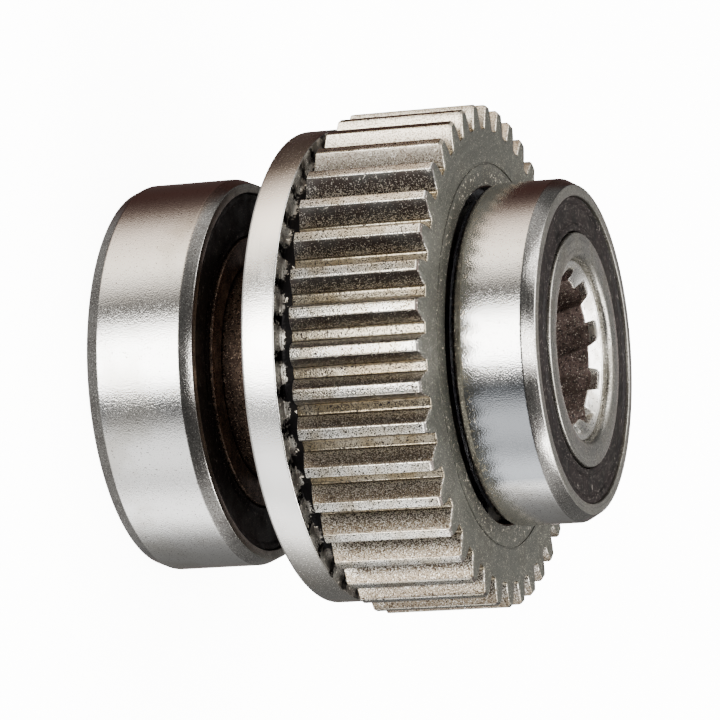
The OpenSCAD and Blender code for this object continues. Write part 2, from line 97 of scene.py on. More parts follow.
def softCorner(before, corner, after, radius, steps=4):
    # the corner is replaced by points on a quadratic curve that starts and ends radius away from it
    before, corner, after = (np.array(p, float) for p in (before, corner, after))
    toBefore = (before - corner) / np.linalg.norm(before - corner)
    toAfter = (after - corner) / np.linalg.norm(after - corner)
    t = np.linspace(0, 1, steps + 1)[:, None]
    start, end = corner + radius * toBefore, corner + radius * toAfter
    bow = 0.83 * corner + 0.17 * (start + end) / 2  # pulls the curve towards a true arc
    return (1 - t) ** 2 * start + 2 * t * (1 - t) * bow + t ** 2 * end


def softProfile(corners):
    # a closed outline from (radius, height, corner size, finish): each corner is eased by its own size,
    # and the finish is that of the stretch after it
    count = len(corners)
    parts, finish = [], []
    for i, (r, z, size, after) in enumerate(corners):
        before = corners[i - 1][3]
        if size > 0:
            part = softCorner(corners[i - 1][:2], (r, z), corners[(i + 1) % count][:2], size)
            finish += [before] * (len(part) // 2) + [after] * (len(part) - len(part) // 2)
        else:
            part = np.array([[r, z]], float)
            finish.append(after)
        parts.append(part)
    return np.concatenate(parts), finish


def closedMesh(name, rings, body, nodes, materials, finish=None):
    # rings is a grid of points, closed both ways: around each ring, and from the last ring to the first;
    # a negative volume inside the faces means that they point inwards, and they are turned round
    rows, count = rings.shape[:2]
    i, j = np.meshgrid(np.arange(rows), np.arange(count), indexing="ij")
    nextI, nextJ = (i + 1) % rows, (j + 1) % count
    quads = np.stack([i * count + j, i * count + nextJ, nextI * count + nextJ, nextI * count + j], -1)
    quads = quads.reshape(-1, 4)
    points = rings.reshape(-1, 3)
    corner = points[quads]
    volume = np.einsum("ij,ij->i", np.cross(corner[:, 0], corner[:, 1]), corner[:, 2])
    volume += np.einsum("ij,ij->i", np.cross(corner[:, 0], corner[:, 2]), corner[:, 3])
    if volume.sum() < 0:
        quads = quads[:, ::-1]
    mesh = bpy.data.meshes.new(name)
    mesh.from_pydata(points * mm, [], quads)
    for material in materials:
        mesh.materials.append(material)
    if finish is not None:
        mesh.polygons.foreach_set("material_index", np.repeat(finish, count).astype(np.int32))
    mesh.polygons.foreach_set("use_smooth", np.ones(len(quads), bool))
    mesh.update()
    mesh.set_sharp_from_angle(angle=math.radians(sharpAngle))
    piece = bpy.data.objects.new(name, mesh)
    bpy.context.scene.collection.objects.link(piece)
    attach(piece, body)
    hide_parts(*nodes)


def turnedRings(profile, segments):
    # the profile's (radius, height) points turned about the shaft: x = r cos a, y = r sin a, z = height
    angle = np.linspace(0, 2 * math.pi, segments, endpoint=False)
    radius, height = profile[:, :1], profile[:, 1:]
    return np.stack([radius * np.cos(angle), radius * np.sin(angle), height + 0 * angle], -1)


def allTeeth(half, teeth, first):
    # half a tooth, as (radius, angle) from its middle, is mirrored and repeated round the shaft, from the
    # first tooth's angle on; gives all the radii and all the angles
    whole = np.concatenate([half[:0:-1] * (1, -1), half[:-1]])
    turn = first + np.arange(teeth) * 2 * math.pi / teeth
    return np.tile(whole[:, 0], teeth), (turn[:, None] + whole[None, :, 1]).ravel()


def arcPoints(centreR, centreZ, radius, start, end, steps):
    # points on a circle about (centreR, centreZ), from one angle in degrees to another
    angle = np.radians(np.linspace(start, end, steps + 1))
    return np.stack([centreR + radius * np.cos(angle), centreZ + radius * np.sin(angle)], -1)


# Camera, floor and light

photoCamera = {
    "place": (35.02, -594.12, 240.33),  # mm from the middle of the large bearing's outer face
    "right": (0.04717, 0.33599, 0.94068),  # the picture's right: up along the shaft
    "back": (0.05652, -0.94112, 0.33331),  # from the part towards the camera
    "lens": 228.09, "sensor": 36,
    "clip": (0.01, 20),  # metres
}


def makeCamera(c):
    right, back = Vector(c["right"]).normalized(), Vector(c["back"])
    back = (back - right * back.dot(right)).normalized()  # made square to right
    up = back.cross(right)
    data = bpy.data.cameras.new("photoCamera")
    data.lens, data.sensor_width = c["lens"], c["sensor"]
    data.clip_start, data.clip_end = c["clip"]
    camera = bpy.data.objects.new("photoCamera", data)
    turn = Matrix((right, up, back)).transposed().to_4x4()
    camera.matrix_world = Matrix.Translation(Vector(c["place"]) * mm) @ turn
    bpy.context.scene.collection.objects.link(camera)
    bpy.context.scene.camera = camera


makeCamera(photoCamera)
print("camera: done")

studio = {
    "floorSize": 6.0,  # metres
    "floorWhite": "#f4f4f2",
    "paperGlow": 11.0,  # the lit paper behind and under the part
    "tentGlow": 18.0,  # the brightest strip of the tent
    # share of a turn from the camera's side, through -X at a quarter, and the strip's share of that glow
    "lowStrips": [(0.0, 1.0), (0.05, 1.0), (0.075, 0.35), (0.095, 0.015), (0.122, 0.015), (0.145, 0.1),
                  (0.18, 0.23), (0.21, 0.2), (0.25, 0.14), (0.28, 0.06), (0.31, 0.015), (0.35, 0.005),
                  (0.43, 0.004), (0.47, 0.008), (0.478, 0.07), (0.512, 0.07), (0.52, 0.009), (0.58, 0.012),
                  (0.63, 0.016), (0.67, 0.026), (0.7, 0.07), (0.735, 0.23), (0.775, 0.22), (0.81, 0.1),
                  (0.85, 0.16), (0.885, 0.15), (0.91, 0.075), (0.928, 0.012), (0.955, 0.012), (0.972, 0.15),
                  (0.985, 1.0), (1.0, 1.0)],
    "highStrips": [(0.0, 0.01), (0.1, 0.009), (0.17, 0.02), (0.22, 0.05), (0.28, 0.055), (0.33, 0.014),
                   (0.42, 0.006), (0.5, 0.02), (0.58, 0.012), (0.65, 0.014), (0.7, 0.03), (0.74, 0.065),
                   (0.79, 0.045), (0.83, 0.01), (0.93, 0.005), (1.0, 0.01)],
    "upperStrips": [(0.0, 0.8), (0.03, 0.8), (0.06, 0.05), (0.09, 0.01), (0.14, 0.012), (0.18, 0.38),
                    (0.27, 0.38), (0.32, 0.08), (0.5, 0.03), (0.62, 0.06), (0.66, 0.22), (0.71, 0.3),
                    (0.75, 1.0), (0.79, 1.0), (0.82, 0.05), (0.87, 0.01), (0.93, 0.01), (0.955, 0.05),
                    (0.975, 0.8), (1.0, 0.8)],
    # the low strips are warm on the picture's upper side, reddest near its top, and neutral below
    "warmth": [(0.06, "#fffffe"), (0.2, "#fff3e3"), (0.3, "#ffe8d8"), (0.38, "#ffb5a9"), (0.46, "#ffd9d0"),
               (0.56, "#fffefb"), (0.7, "#fcfdff")],
    "overhead": 0.6,  # straight above, as a share of the glow
    "below": 0.03,
    # where each other light takes over from the low strips: its height on a ball of radius 1 round the part
    "highFrom": (-0.02, 0.16), "upperFrom": (0.5, 0.58),
    "roofFrom": (0.75, 0.97), "belowFrom": (-0.5, -0.75),
}


def makeStudio(s):
    # lit white paper under the part; it lights nothing itself, the tent does
    size = s["floorSize"] / 2
    mesh = bpy.data.meshes.new("floor")
    mesh.from_pydata([(-size, -size, 0), (size, -size, 0), (size, size, 0), (-size, size, 0)],
                     [], [(0, 1, 2, 3)])
    floor = bpy.data.objects.new("floor", mesh)
    bpy.context.scene.collection.objects.link(floor)
    material, tree = newMaterial("litWhitePaper")
    white = linearColour(s["floorWhite"])
    shader = addNode(tree, "BsdfPrincipled", {"Base Color": white, "Roughness": 0.8,
                                              "Emission Color": white, "Emission Strength": s["paperGlow"]})
    addNode(tree, "OutputMaterial", {"Surface": shader})
    mesh.materials.append(material)
    floor.visible_glossy = False
    floor.visible_diffuse = False
    floor.visible_shadow = False


def makeTent(s):
    # a tent of light and dark strips that stand along the shaft; the camera itself sees plain white paper
    world = bpy.data.worlds.new("studioTent")
    bpy.context.scene.world = world
    world.use_nodes = True
    tree = world.node_tree
    tree.nodes.clear()
    axis = addNode(tree, "SeparateXYZ", {0: addNode(tree, "TexCoord").outputs["Generated"]})
    # arctan2(x, y) is half a turn at -Y, where the camera stands; the picture's top is towards -X
    turn = addNode(tree, "Math", {0: axis.outputs["X"], 1: axis.outputs["Y"]}, operation="ARCTAN2")
    share = addNode(tree, "MapRange", {0: turn, 1: -math.pi, 2: math.pi})
    low = addNode(tree, "ValToRGB", {0: share}, stops=s["lowStrips"])
    warm = addNode(tree, "ValToRGB", {0: share}, stops=s["warmth"])
    light = addNode(tree, "Mix", {0: 1.0, 6: low, 7: warm}, data_type="RGBA", blend_type="MULTIPLY")
    high = addNode(tree, "ValToRGB", {0: share}, stops=s["highStrips"])
    upper = addNode(tree, "ValToRGB", {0: share}, stops=s["upperStrips"])
    roof, below = (s["overhead"],) * 3 + (1.0,), (s["below"],) * 3 + (1.0,)
    # from the horizon up: high strips, upper strips and the roof; far down: the dim ground
    for key, other in (("highFrom", high), ("upperFrom", upper), ("roofFrom", roof), ("belowFrom", below)):
        start, end = s[key]
        blend = addNode(tree, "MapRange", {0: axis.outputs["Z"], 1: start, 2: end},
                        interpolation_type="SMOOTHSTEP")
        light = addNode(tree, "Mix", {0: blend, 6: light, 7: other}, data_type="RGBA")
    tent = addNode(tree, "Background", {"Color": light, "Strength": s["tentGlow"]})
    paper = addNode(tree, "Background", {"Color": linearColour(s["floorWhite"]), "Strength": s["paperGlow"]})
    ray = addNode(tree, "LightPath")
    seen = addNode(tree, "MixShader", {0: ray.outputs["Is Camera Ray"], 1: tent, 2: paper})
    addNode(tree, "OutputWorld", {"Surface": seen})


makeStudio(studio)
makeTent(studio)
print("studio: done")


# Finishes: every pattern is laid out in millimetres about the shaft. In each look, specks are (colour,
# size, share of the surface), hair is (size, width, share) and roughness is (cleanest, dirtiest)

dustHair = "#d9cfbd"
middleRadius = 25  # a middling radius of the part, which turns a direction into a way round the shaft
noiseLow, noiseHigh = 0.29, 0.71  # nearly all of a noise texture's values lie between these


def shaftPlace(tree):
    # a point in millimetres, its radius and height, its direction from the shaft, and the surface's own
    coordinates = addNode(tree, "TexCoord")
    point = addNode(tree, "VectorMath", {0: coordinates.outputs["Object"], 1: (1000, 1000, 1000)},
                    operation="MULTIPLY")
    flat = addNode(tree, "VectorMath", {0: point, 1: (1, 1, 0)}, operation="MULTIPLY")
    return {"point": point, "normal": coordinates.outputs["Normal"],
            "radius": addNode(tree, "VectorMath", {0: flat}, operation="LENGTH"),
            "height": addNode(tree, "SeparateXYZ", {0: point}).outputs["Z"],
            "around": addNode(tree, "VectorMath", {0: flat}, operation="NORMALIZE")}


def turnedLines(tree, place, spacing, run):
    # lines that a lathe or a grinding wheel leaves: long round the shaft, close together across it
    along = addNode(tree, "VectorMath", {0: place["around"], "Scale": middleRadius / run},
                    operation="SCALE")
    across = addNode(tree, "Math", {0: place["radius"], 1: place["height"]}, operation="ADD")
    across = addNode(tree, "Math", {0: across, 1: 1 / spacing}, operation="MULTIPLY")
    lift = addNode(tree, "CombineXYZ", {"Z": across})
    vector = addNode(tree, "VectorMath", {0: along, 1: lift}, operation="ADD")
    return addNode(tree, "TexNoise", {"Vector": vector, "Scale": 1.0, "Detail": 3.0, "Roughness": 0.65})


def patches(tree, point, size, share, soft=0.05, detail=1.0):
    # spots of about this size in millimetres over about this share of the surface
    noise = addNode(tree, "TexNoise", {"Vector": point, "Scale": 1 / size, "Detail": detail})
    edge = noiseHigh - (noiseHigh - noiseLow) * share
    return addNode(tree, "MapRange", {0: noise, 1: edge - soft / 2, 2: edge + soft / 2},
                   interpolation_type="SMOOTHSTEP")


def curledFibres(tree, point, size, width, share):
    # short curled hairs of dust: the borders of cells warped by about twice their size, cut to pieces by
    # a second pattern
    warp = addNode(tree, "TexNoise", {"Vector": point, "Scale": 0.7 / size, "Detail": 1.0}).outputs["Color"]
    warp = addNode(tree, "VectorMath", {0: warp, "Scale": 2.2 * size}, operation="SCALE")
    bent = addNode(tree, "VectorMath", {0: point, 1: warp}, operation="ADD")
    cells = addNode(tree, "TexVoronoi", {"Vector": bent, "Scale": 1 / size}, feature="DISTANCE_TO_EDGE")
    hair = addNode(tree, "MapRange", {0: cells, 1: 0.5 * width / size, 2: 1.6 * width / size,
                                      3: 1.0, 4: 0.0})
    return addNode(tree, "Math", {0: hair, 1: patches(tree, point, 0.8 * size, share)}, operation="MULTIPLY")


def filmAndShadeMask(tree, place, filmAndShade):
    # a band that thickens from one height or radius to another and breaks into specks at its edge; films of
    # dust and painted shade both use it
    ramp = addNode(tree, "MapRange", {0: place[filmAndShade["along"]], 1: filmAndShade["from"], 2: filmAndShade["to"],
                                      3: 0.0, 4: filmAndShade["most"]})
    noise = addNode(tree, "TexNoise", {"Vector": place["point"], "Scale": 1 / filmAndShade["size"], "Detail": 2.0})
    both = addNode(tree, "Math", {0: noise, 1: 0.9, 2: ramp}, operation="MULTIPLY_ADD")
    return addNode(tree, "MapRange", {0: both, 1: 0.82, 2: 0.96},
                   interpolation_type="SMOOTHSTEP")


def toothEndShadeMask(tree, place, toothEndShade):
    # a ragged round patch of painted shade at the end of every tooth, its reach and half width in mm: the
    # angle in tooth pitches, wrapped to half a pitch each way, gives the way round from a tooth's middle
    axis = addNode(tree, "SeparateXYZ", {0: place["point"]})
    angle = addNode(tree, "Math", {0: axis.outputs["Y"], 1: axis.outputs["X"]}, operation="ARCTAN2")
    pitches = addNode(tree, "Math", {0: angle, 1: toothEndShade["teeth"] / (2 * math.pi)}, operation="MULTIPLY")
    local = addNode(tree, "Math", {0: pitches, 1: 0.5, 2: -0.5}, operation="WRAP")
    around = 2 * math.pi * toothEndShade["radius"] / toothEndShade["teeth"] / toothEndShade["half"]
    side = addNode(tree, "Math", {0: local, 1: around}, operation="MULTIPLY")
    back = addNode(tree, "MapRange", {0: place["height"], 1: toothEndShade["end"], 2: toothEndShade["end"] - toothEndShade["reach"]},
                   clamp=False)
    away = addNode(tree, "VectorMath", {0: addNode(tree, "CombineXYZ", {"X": side, "Y": back})},
                   operation="LENGTH")
    ragged = addNode(tree, "TexNoise", {"Vector": place["point"], "Scale": 1.6, "Detail": 3.0})
    edge = addNode(tree, "Math", {0: ragged, 1: 0.9, 2: away}, operation="MULTIPLY_ADD")
    return addNode(tree, "MapRange", {0: edge, 1: 1.5, 2: 1.35},
                   interpolation_type="SMOOTHSTEP")


def painted(tree, colour, layers):
    # each layer's colour lies over the ones before it, where its mask is 1
    if isinstance(colour, str):
        colour = linearColour(colour)
    for mask, over in layers:
        over = linearColour(over) if isinstance(over, str) else over
        colour = addNode(tree, "Mix", {0: mask, 6: colour, 7: over}, data_type="RGBA")
    return colour


def finishSurface(tree, colour, roughness, height, depth, metallic=1.0, fixed=None):
    # the surface, with its relief's depth in millimetres
    relief = addNode(tree, "Bump", {"Height": height, "Distance": depth * mm, "Strength": 1.0})
    inputs = {"Base Color": colour, "Metallic": metallic, "Roughness": roughness, "Normal": relief}
    shader = addNode(tree, "BsdfPrincipled", inputs | (fixed or {}))
    addNode(tree, "OutputMaterial", {"Surface": shader})
    return shader


def turnedMetal(name, look):
    # metal that was turned or ground round the shaft: fine lines, cloudy stains, grit and specks of dust
    material, tree = newMaterial(name)
    place = shaftPlace(tree)
    point = place["point"]
    lines = turnedLines(tree, place, look["lineSpacing"], look["lineRun"])
    stain = patches(tree, point, look["stainSize"], look["stainShare"], 0.25, 3.0)
    layers = [(stain, look["stain"])]
    layers += [(patches(tree, point, size, share), shade) for shade, size, share in look["specks"]]
    if "side" in look:
        # a stretch about this direction from the shaft is painted another colour, as painted light on that
        # side; from and to are cosines
        side = look["side"]
        facing = addNode(tree, "VectorMath", {0: place["around"], 1: side["towards"]},
                         operation="DOT_PRODUCT")
        facing = addNode(tree, "MapRange", {0: facing, 1: side["from"], 2: side["to"]})
        layers.append((facing, side["colour"]))
    colour = painted(tree, look["colour"], layers)
    dull = addNode(tree, "MapRange", {0: lines, 1: 0.3, 2: 0.7, 3: 1 - look["lineTone"], 4: 1.0})
    colour = addNode(tree, "VectorMath", {0: colour, "Scale": dull}, operation="SCALE")
    smooth, rough = look["roughness"]
    worn = addNode(tree, "Math", {0: lines, 1: stain}, operation="ADD")
    gloss = addNode(tree, "MapRange", {0: worn, 1: 0.3, 2: 1.3, 3: smooth, 4: rough})
    # the band laid over the colour: dust on some finishes, painted shade in the groove
    if "filmAndShade" in look:
        filmAndShade = filmAndShadeMask(tree, place, look["filmAndShade"])
        colour = painted(tree, colour, [(filmAndShade, look["filmAndShade"]["colour"])])
        gloss = addNode(tree, "Mix", {0: filmAndShade, 2: gloss, 3: look["filmAndShade"]["roughness"]})
    if "hair" in look:
        # hairs lie only where that band does, and a little before it begins
        near = look["filmAndShade"]
        reach = addNode(tree, "MapRange", {0: place[near["along"]], 1: 1.3 * near["from"] - 0.3 * near["to"],
                                           2: near["from"]})
        hair = addNode(tree, "Math", {0: curledFibres(tree, point, *look["hair"]), 1: reach},
                       operation="MULTIPLY")
        colour = painted(tree, colour, [(hair, dustHair)])
    # a dark blot of painted shade at each tooth's end
    if "toothEndShade" in look:
        colour = painted(tree, colour, [(toothEndShadeMask(tree, place, look["toothEndShade"]), look["toothEndShade"]["colour"])])
    grit = addNode(tree, "TexNoise", {"Vector": point, "Scale": 1 / look["gritSize"], "Detail": 1.0})
    relief = addNode(tree, "Mix", {0: look["gritShare"], 2: lines, 3: grit})
    shader = finishSurface(tree, colour, gloss, relief, look["depth"], look.get("metallic", 1.0),
                           {"Specular IOR Level": look.get("specular", 0.5)})
    if "grain" in look:
        # the ground lines run round the shaft, so a highlight spreads along it
        shader.inputs["Anisotropic"].default_value = look["grain"]
        shader.inputs["Anisotropic Rotation"].default_value = 0.25
        tangent = addNode(tree, "Tangent", direction_type="RADIAL", axis="Z")
        tree.links.new(tangent.outputs[0], shader.inputs["Tangent"])
    return material


# ground and superfinished bearing steel: near mirror bands with a fine dark grit where they change
groundRing = {
    "colour": "#cccac6", "stain": "#b5b1a9", "stainSize": 9, "stainShare": 0.3,
    "lineSpacing": 0.12, "lineRun": 14, "lineTone": 0.06, "specks": [("#5a544d", 0.2, 0.05)],
    "gritSize": 0.19, "gritShare": 0.95, "depth": 0.024, "roughness": (0.1, 0.18), "grain": 0.4}
groundBearingSteel = turnedMetal("groundBearingSteel", groundRing)
# the small ring, the same steel: a greyer stretch at the front, a painted reflection; hairs, and a darker
# brown band by the gear
dustyReflectionBearingSteel = turnedMetal("dustyReflectionBearingSteel", groundRing | {
    "filmAndShade": {"along": "height", "from": 52.9, "to": 50.7, "most": 0.52, "size": 0.22, "colour": "#4d463f",
             "roughness": 0.4},
    "hair": (0.7, 0.05, 0.42),
    "side": {"towards": (0.515, -0.857, 0), "from": 0.93, "to": 0.955, "colour": "#87898b"}})
# the same steel, turned at the ring's corners: an even mid grey with coarser lines
turnedCornerSteel = turnedMetal("turnedCornerSteel", {
    "colour": "#a29f9a", "stain": "#888480", "stainSize": 3, "stainShare": 0.4,
    "lineSpacing": 0.2, "lineRun": 8, "lineTone": 0.15,
    "specks": [("#6a645d", 0.18, 0.22), ("#d5d1c9", 0.17, 0.2)],
    "gritSize": 0.22, "gritShare": 0.6, "depth": 0.02, "roughness": (0.11, 0.18)})
# ground end faces: dull grey with a film of oil
groundFaceSteel = turnedMetal("groundFaceSteel", {
    "colour": "#8f8c83", "stain": "#6f6b62", "stainSize": 4, "stainShare": 0.35,
    "lineSpacing": 0.25, "lineRun": 20, "lineTone": 0.2,
    "specks": [("#48443e", 0.24, 0.14), ("#d0ccc2", 0.2, 0.1)],
    "gritSize": 0.3, "gritShare": 0.5, "depth": 0.02, "roughness": (0.26, 0.4)})
# ground inner rings, dulled by handling and oil
groundInnerRing = turnedMetal("groundInnerRing", {
    "colour": "#9a978f", "stain": "#716d64", "stainSize": 3.5, "stainShare": 0.4,
    "lineSpacing": 0.22, "lineRun": 16, "lineTone": 0.22,
    "specks": [("#37322d", 0.24, 0.16), ("#dad5ca", 0.2, 0.1)],
    "gritSize": 0.3, "gritShare": 0.5, "depth": 0.02, "roughness": (0.22, 0.36)})
# the gear's rim, ground and handled: bright, and painted near white at the front (towards -Y) as a painted
# highlight, with fine nicks and a soft haze
groundRimSteel = turnedMetal("groundRimSteel", {
    "colour": "#a09c94", "stain": "#8f8a81", "stainSize": 6, "stainShare": 0.35,
    "lineSpacing": 0.16, "lineRun": 9, "lineTone": 0.1,
    "side": {"towards": (0, -1, 0), "from": 0.6, "to": 0.8, "colour": "#efece6"},
    "specks": [("#5b544b", 0.2, 0.12), ("#efebe2", 0.2, 0.1)],
    "gritSize": 0.2, "gritShare": 0.85, "depth": 0.028, "roughness": (0.2, 0.28)})
# the gear's turned and heat-treated end face: matte olive grey with faint lines, dustier by the recess
heatTreatedFace = turnedMetal("heatTreatedFace", {
    "colour": "#56564f", "stain": "#474640", "stainSize": 6, "stainShare": 0.45,
    "lineSpacing": 0.35, "lineRun": 30, "lineTone": 0.16,
    "specks": [("#2f2c28", 0.24, 0.16), ("#a9a496", 0.2, 0.08)],
    "filmAndShade": {"along": "radius", "from": 25.6, "to": 23.2, "most": 0.34, "size": 0.2, "colour": "#c4bfb2",
             "roughness": 0.7}, "hair": (0.6, 0.04, 0.1),
    "gritSize": 0.35, "gritShare": 0.6, "depth": 0.02, "roughness": (0.42, 0.58)})
# the boss and the hard faces inside: brown from quench oil; on the large inner ring, which wears it too, the
# dark brown is partly painted shade of the gap it sits in
quenchedShadedSteel = turnedMetal("quenchedShadedSteel", {
    "colour": "#6d5b4e", "stain": "#3f332c", "stainSize": 2.5, "stainShare": 0.5,
    "lineSpacing": 0.3, "lineRun": 12, "lineTone": 0.3,
    "specks": [("#2a221e", 0.3, 0.25), ("#b09a86", 0.2, 0.16)],
    "gritSize": 0.35, "gritShare": 0.5, "depth": 0.025, "roughness": (0.34, 0.5)})
# the sleeve's outside, ground to its bearing's bore
groundSleeveSteel = turnedMetal("groundSleeveSteel", {
    "colour": "#bdb8ae", "stain": "#8d8579", "stainSize": 4, "stainShare": 0.3,
    "lineSpacing": 0.2, "lineRun": 12, "lineTone": 0.15, "specks": [("#4a423a", 0.25, 0.16)],
    "gritSize": 0.3, "gritShare": 0.5, "depth": 0.015, "roughness": (0.2, 0.34)})
# the turned lead-in and end face: the brightest metal on the part
leadInSteel = turnedMetal("leadInSteel", {
    "colour": "#e6e3dc", "stain": "#bfb9ae", "stainSize": 2.5, "stainShare": 0.3,
    "lineSpacing": 0.18, "lineRun": 9, "lineTone": 0.14, "specks": [("#453d35", 0.22, 0.12)],
    "gritSize": 0.26, "gritShare": 0.5, "depth": 0.02, "roughness": (0.22, 0.34)})
# broached splines, under a dull brown film of old grease and dust
broachedSplineSteel = turnedMetal("broachedSplineSteel", {
    "colour": "#665650", "stain": "#43362f", "stainSize": 2.2, "stainShare": 0.5,
    "lineSpacing": 0.4, "lineRun": 6, "lineTone": 0.25,
    "specks": [("#241d19", 0.3, 0.28), ("#cfc5b8", 0.18, 0.08)], "metallic": 0.45,
    "gritSize": 0.35, "gritShare": 0.6, "depth": 0.04, "roughness": (0.3, 0.46)})


def pressedMetal(name, look):
    # sheet, wire and rolled parts that no turning marks: an even finish, cloudy with oil and lightly scuffed
    material, tree = newMaterial(name)
    point = shaftPlace(tree)["point"]
    stain = patches(tree, point, look["stainSize"], 0.45, 0.3, 3.0)
    scuff = patches(tree, point, look["scuffSize"], look["scuffShare"])
    colour = painted(tree, look["colour"], [(stain, look["stain"]), (scuff, look["scuff"])])
    smooth, rough = look["roughness"]
    gloss = addNode(tree, "MapRange", {0: stain, 3: smooth, 4: rough})
    grain = addNode(tree, "TexNoise", {"Vector": point, "Scale": 1 / look["grainSize"], "Detail": 3.0})
    finishSurface(tree, colour, gloss, grain, look["depth"])
    return material


# CAD pieces that keep their own shape, by the record's material slot
keptFinishes = {
    # stamped and phosphated plate: dark grey with a crystalline grain
    "plate_steel": pressedMetal("phosphatedPlate", {
        "colour": "#6c675f", "stain": "#514c45", "scuff": "#a39d92", "stainSize": 3, "scuffSize": 0.3,
        "scuffShare": 0.12, "grainSize": 0.25, "depth": 0.02, "roughness": (0.38, 0.52)}),
    # oil-tempered spring wire: blue-black and slightly glossy
    "spring_steel": pressedMetal("oilTemperedWire", {
        "colour": "#4b4d52", "stain": "#35353a", "scuff": "#8f9297", "stainSize": 1.2, "scuffSize": 0.15,
        "scuffShare": 0.1, "grainSize": 0.15, "depth": 0.006, "roughness": (0.22, 0.36)}),
    # through-hardened and lapped: a clear mirror with hardly a mark
    "ball_steel": pressedMetal("lappedBallSteel", {
        "colour": "#d5d5d3", "stain": "#c3c2bf", "scuff": "#8c8a86", "stainSize": 2, "scuffSize": 0.12,
        "scuffShare": 0.03, "grainSize": 0.2, "depth": 0.001, "roughness": (0.06, 0.12)}),
    # cold-pressed strip: satin, faintly yellow from oil
    "cage_steel": pressedMetal("pressedCageStrip", {
        "colour": "#a3977c", "stain": "#857a63", "scuff": "#c9c1ab", "stainSize": 2, "scuffSize": 0.2,
        "scuffShare": 0.15, "grainSize": 0.18, "depth": 0.008, "roughness": (0.26, 0.42)}),
    # sintered bronze: matte, open-pored and dark with the oil it holds
    "bush_bronze": pressedMetal("sinteredBronze", {
        "colour": "#a5824e", "stain": "#7d5f36", "scuff": "#4e3a22", "stainSize": 2.5, "scuffSize": 0.12,
        "scuffShare": 0.3, "grainSize": 0.12, "depth": 0.02, "roughness": (0.4, 0.55)}),
}


def dressKeptNodes():
    for part in frame["record"]["subparts"]:
        if part["material_slot"] in keptFinishes:
            for held in frame["nodes"][part["node"]].material_slots:
                held.material = keptFinishes[part["material_slot"]]


dressKeptNodes()
print("finishes: done")

# Drive gear: hobbed teeth, relief groove, ground rim and boss in one

driveGear = {
    "teeth": 40, "module": 1.65, "pressureAngle": 20, "backlash": 0.08,
    "rootRadius": 31.14, "rootFillet": 0.4, "tipEase": 0.12, "endChamfer": 0.4, "endBreak": 0.12,
    "gearWidth": 17.8, "grooveWidth": 2.8, "grooveRadius": 30.6, "grooveSlant": 1.0, "grooveCorner": 0.5,
    "rimWidth": 4.75, "rimRadius": 32.7, "rimChamfer": 0.45, "rimInnerChamfer": 0.25,
    "bossRadius": 15, "bossBlend": 1.6, "bossChamfer": 0.8, "boreRadius": 12.5,
    "faceRows": (30.4, 29), "lineRadius": 26.2, "lineWidth": 0.3, "lineSlant": 0.05, "lineDepth": 0.15,
    "recessRadius": 23.1, "recessEdge": 0.25, "snapDepth": 1.1, "snapWidth": 1.2, "snapRadius": 24,
    "coverDepth": 4.4, "cavityDepth": 20.8, "washerDepth": 21.9, "trackRadius": 15.2, "landRadius": 15.7,
    "rampX": 21.913, "rampSlope": 0.0875, "pocketLow": 3.85, "pocketHigh": 4.75,
    "springSide": 2.37, "springX": 17.6, "springEnd": 11.6, "springTurn": 0.62,
    "pockets": 5, "firstPocket": 20,
}


# the relief groove: bright where it was turned beside the rim; by the teeth, hairs of dust over a near-black
# band and a dark blot at each tooth's end, both painted shade
dustyShadedGrooveSteel = turnedMetal("dustyShadedGrooveSteel", {
    "colour": "#858179", "stain": "#4d4842", "stainSize": 2.0, "stainShare": 0.45,
    "lineSpacing": 0.3, "lineRun": 3, "lineTone": 0.2,
    "specks": [("#2a2623", 0.2, 0.2)], "hair": (0.9, 0.05, 0.14), "metallic": 0.5, "specular": 0.05,
    # a near-black band towards the teeth: painted shade in the groove
    "filmAndShade": {"along": "height", "from": 29.4, "to": 31.1, "most": 0.9, "size": 0.3, "colour": "#0d0b0a",
             "roughness": 0.6},
    # a round blot at each tooth's end: painted shade of the tooth ends
    "toothEndShade": {"teeth": driveGear["teeth"], "radius": driveGear["grooveRadius"],
            "end": nodeSpan("drive_gear")[2] - driveGear["gearWidth"], "reach": 3.1, "half": 1.9,
            "colour": "#060505"},
    "gritSize": 0.3, "gritShare": 0.6, "depth": 0.02, "roughness": (0.2, 0.34)})


